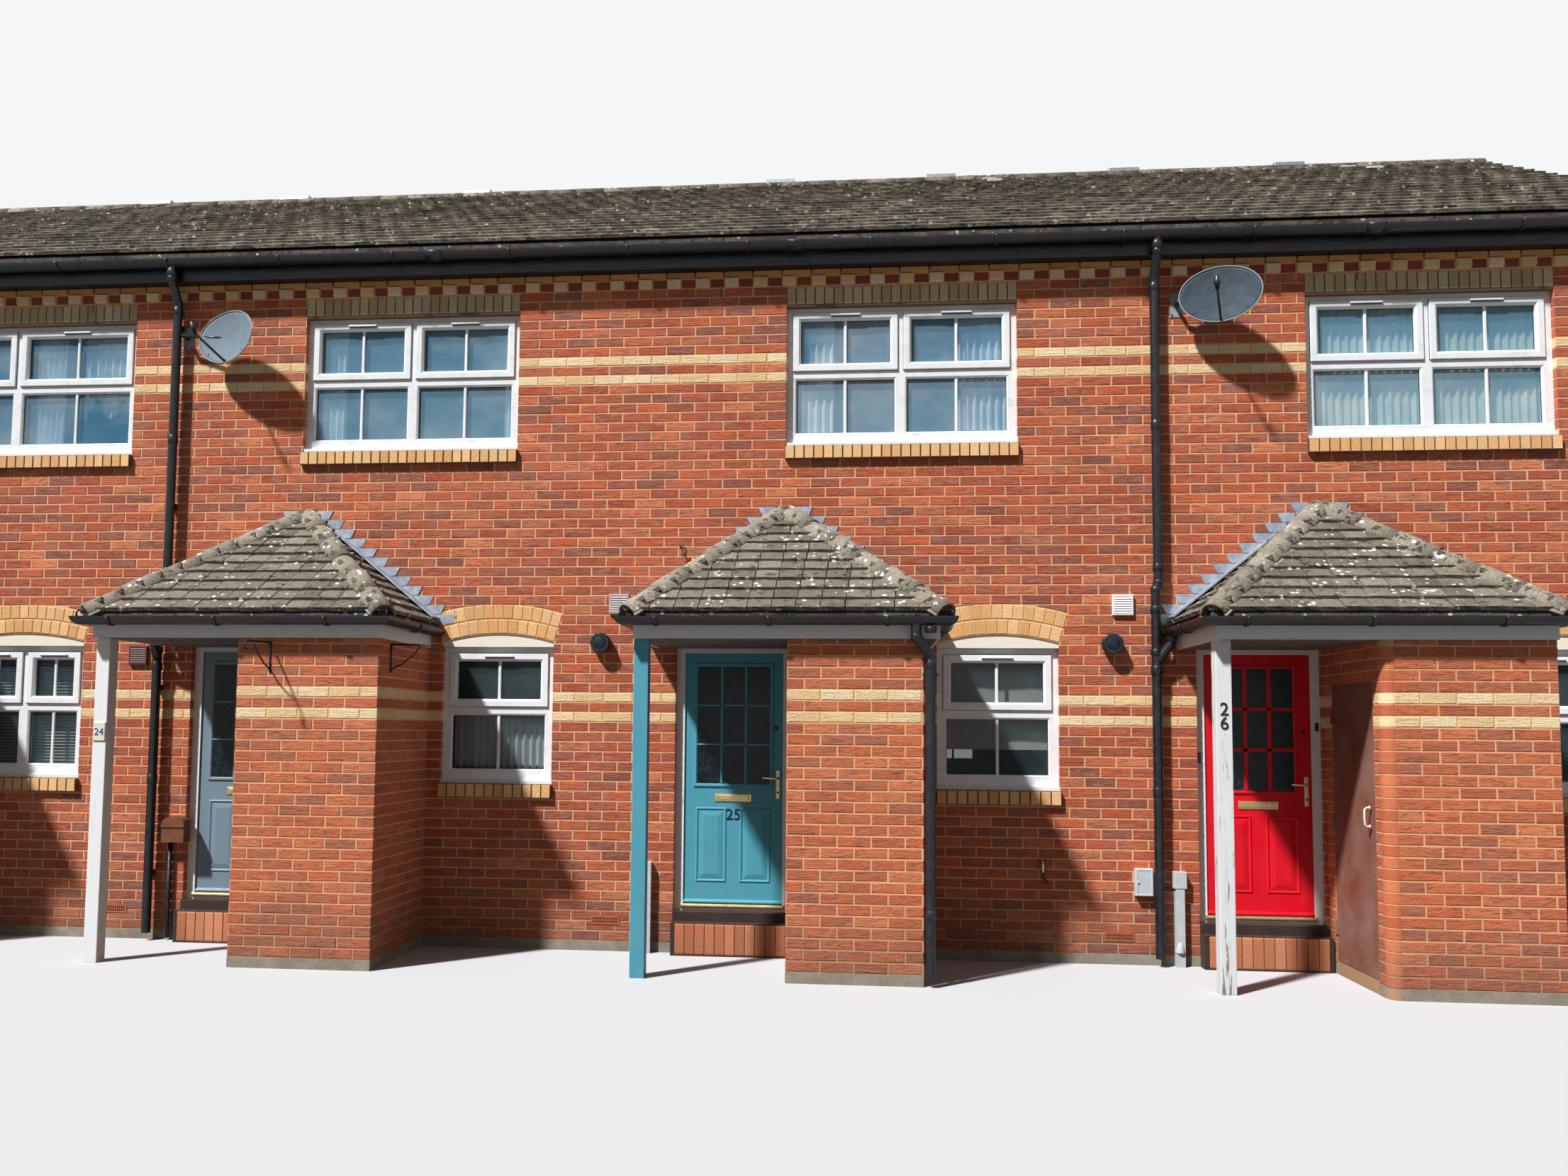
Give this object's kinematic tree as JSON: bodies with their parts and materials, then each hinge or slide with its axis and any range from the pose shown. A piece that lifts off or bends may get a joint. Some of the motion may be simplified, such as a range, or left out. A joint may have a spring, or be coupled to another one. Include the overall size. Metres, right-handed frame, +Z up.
{
  "type": "terraced house row",
  "caption": "Row of two-storey brick terraced houses with tiled roof, hipped porch roofs over front doors and brick stores, and opening doors.",
  "frame": {"origin": "middle of the bounding box on plan, at the ground where the walls stand", "axes": "+X along the row to the right as seen from the street, +Y from the street side to the back, +Z up"},
  "size_m": [15.625, 7.3806, 7.3168],
  "materials": {
    "brick": "rough fired brick",
    "store_brick": "rough fired brick",
    "sill_brick": "rough fired brick",
    "step_brick": "rough fired brick",
    "blockwork": "plain",
    "floor_slab": "plain",
    "floor_boards": "plain",
    "roof_tile": "weathered matt",
    "ridge_tile": "weathered matt",
    "black_board": "gloss paint",
    "grey_board": "weathered paint",
    "cream_board": "paint",
    "black_plastic": "satin",
    "white_plastic": "satin",
    "grey_plastic": "satin",
    "cream_plastic": "satin",
    "glass": "clear",
    "white_paint": "paint",
    "green_paint": "gloss paint",
    "grey_paint": "gloss paint",
    "blue_paint": "gloss paint",
    "red_paint": "gloss paint",
    "brown_paint": "gloss paint",
    "grey_paint_metal": "satin"
  },
  "bodies": {
    "row": {"ground_floors": "floor_slab", "first_floors": "floor_boards", "front_wall_ground": "brick", "front_wall_upper": "brick", "back_wall_ground": "brick", "back_wall_upper": "brick", "end_wall_left": "brick", "end_wall_right": "brick", "party_walls": "blockwork", "roof_front": "roof_tile", "roof_back": "roof_tile", "ridge": "ridge_tile", "eaves_boards": "black_board", "main_gutters": "black_plastic", "main_downpipes": "black_plastic", "upper_windows": "white_plastic", "lower_windows": "white_plastic", "back_windows": "white_plastic", "upper_glass": "glass", "lower_glass": "glass", "back_glass": "glass", "window_sills": "sill_brick", "arch_boards": "cream_board", "door_steps": "step_brick", "door_frames": "white_plastic", "door_23": "green_paint", "back_doors": "white_paint", "store_walls": "store_brick", "store_doors": "brown_paint", "porch_posts": "white_paint", "porch_ceilings": "white_paint", "porch_fascias": "grey_board", "porch_roofs": "roof_tile", "porch_gutters": "black_plastic", "porch_downpipes": "black_plastic", "satellite_dishes": "grey_paint_metal", "wall_vents": "grey_plastic", "flue_terminals": "black_plastic", "meter_boxes": "cream_plastic"},
    "front_door_24": {"door_24": "grey_paint"},
    "front_door_25": {"door_25": "blue_paint"},
    "front_door_26": {"door_26": "red_paint"},
    "store_door_26": {"store_door_26": "brown_paint"}
  },
  "joints": [
    {"name": "front_door_24_hinge", "type": "hinge", "parent": "row", "child": "front_door_24", "pos_m": [-3.4595, -2.4297, 1.3], "axis": [0, 0, 1], "range_deg": [0, 90]},
    {"name": "front_door_25_hinge", "type": "hinge", "parent": "row", "child": "front_door_25", "pos_m": [0.4225, -2.4297, 1.3], "axis": [0, 0, 1], "range_deg": [0, 90]},
    {"name": "front_door_26_hinge", "type": "hinge", "parent": "row", "child": "front_door_26", "pos_m": [4.2715, -2.4297, 1.3], "axis": [0, 0, 1], "range_deg": [0, 90]},
    {"name": "store_door_26_hinge", "type": "hinge", "parent": "row", "child": "store_door_26", "pos_m": [5.1052, -2.687, 1], "axis": [0, 0, -1], "range_deg": [0, 90]}
  ]
}
